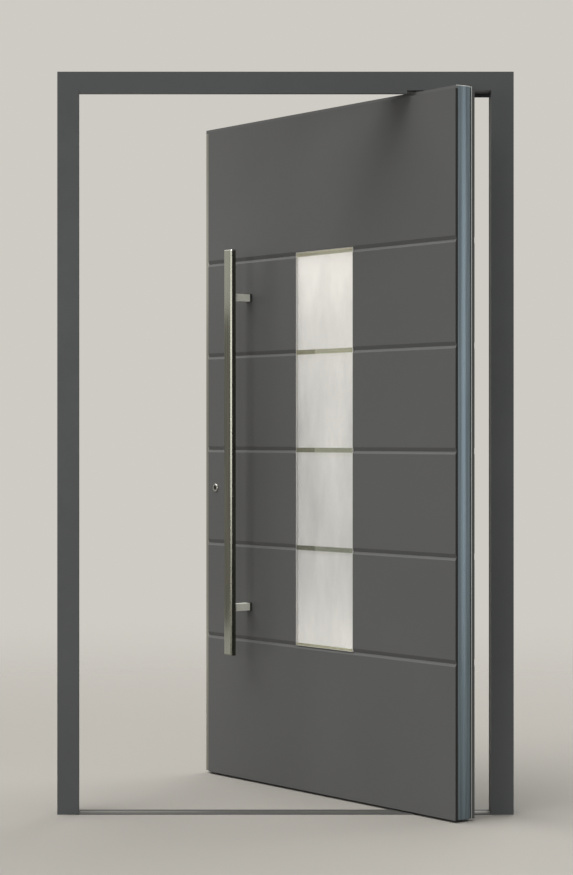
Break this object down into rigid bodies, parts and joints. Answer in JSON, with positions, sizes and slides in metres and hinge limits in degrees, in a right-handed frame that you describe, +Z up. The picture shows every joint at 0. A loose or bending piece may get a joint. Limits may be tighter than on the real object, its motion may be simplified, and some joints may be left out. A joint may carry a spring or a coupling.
{
  "type": "pivot entry door",
  "caption": "Offset-pivot entry door in its frame, shown open: grooved dark metal leaf with a frosted centre window, long pull bar and a flush threshold.",
  "frame": {"origin": "middle of the threshold's underside, at mid-depth of the frame, on the floor", "axes": "+X along the doorway towards the pivot jamb, +Y into the building, +Z up"},
  "size_m": [1.5, 1.1149, 2.442],
  "materials": {
    "frame_paint": "fine matt powder coat, anthracite",
    "leaf_paint": "fine matt powder coat, anthracite",
    "bare_profile": "satin anodised",
    "threshold_metal": "matt dark",
    "bright_strip": "satin",
    "seal_rubber": "matt black",
    "board_black": "matt black",
    "core_foam": "rigid foam",
    "clear_glass": "clear",
    "satin_glass": "satin, acid-etched",
    "glazing_trim": "satin",
    "handle_steel": "fine brushed",
    "lock_steel": "fine brushed",
    "pivot_steel": "machined"
  },
  "bodies": {
    "frame": {"lock_jamb": "frame_paint", "lock_jamb_stop": "frame_paint", "lock_jamb_seal": "seal_rubber", "strike_plates": "lock_steel", "pivot_jamb": "frame_paint", "pivot_jamb_seal": "seal_rubber", "head": "frame_paint", "head_seals": "seal_rubber", "head_outer_stop": "frame_paint", "head_inner_stop": "frame_paint", "threshold": "threshold_metal", "threshold_strips": "bright_strip", "floor_pivot": "pivot_steel", "top_pivot": "pivot_steel"},
    "leaf": {"lock_stile": "bare_profile", "lock_faceplate": "lock_steel", "lock_bolts": "lock_steel", "pivot_stile": "bare_profile", "bottom_rail": "bare_profile", "top_rail": "bare_profile", "bottom_bush": "pivot_steel", "top_bush": "pivot_steel", "core_lock_side": "core_foam", "core_pivot_side": "core_foam", "core_above_window": "core_foam", "core_below_window": "core_foam", "outer_skin": "leaf_paint", "outer_board": "board_black", "inner_skin": "leaf_paint", "inner_board": "board_black", "outer_pane": "clear_glass", "inner_pane": "clear_glass", "window_liner": "glazing_trim", "glass_spacer": "glazing_trim", "satin_bands": "satin_glass", "pull_bar": "handle_steel", "lower_standoff": "handle_steel", "upper_standoff": "handle_steel", "standoff_washers": "seal_rubber", "lock_cylinder": "lock_steel", "outer_rosette": "lock_steel", "inner_rosette": "lock_steel", "lever_rose": "handle_steel", "inside_lever": "handle_steel"}
  },
  "joints": [
    {"name": "leaf_swing", "type": "hinge", "parent": "frame", "child": "leaf", "pos_m": [0.437, 0, 0], "axis": [0, 0, -1], "range_deg": [-51.6, 38.4]}
  ]
}
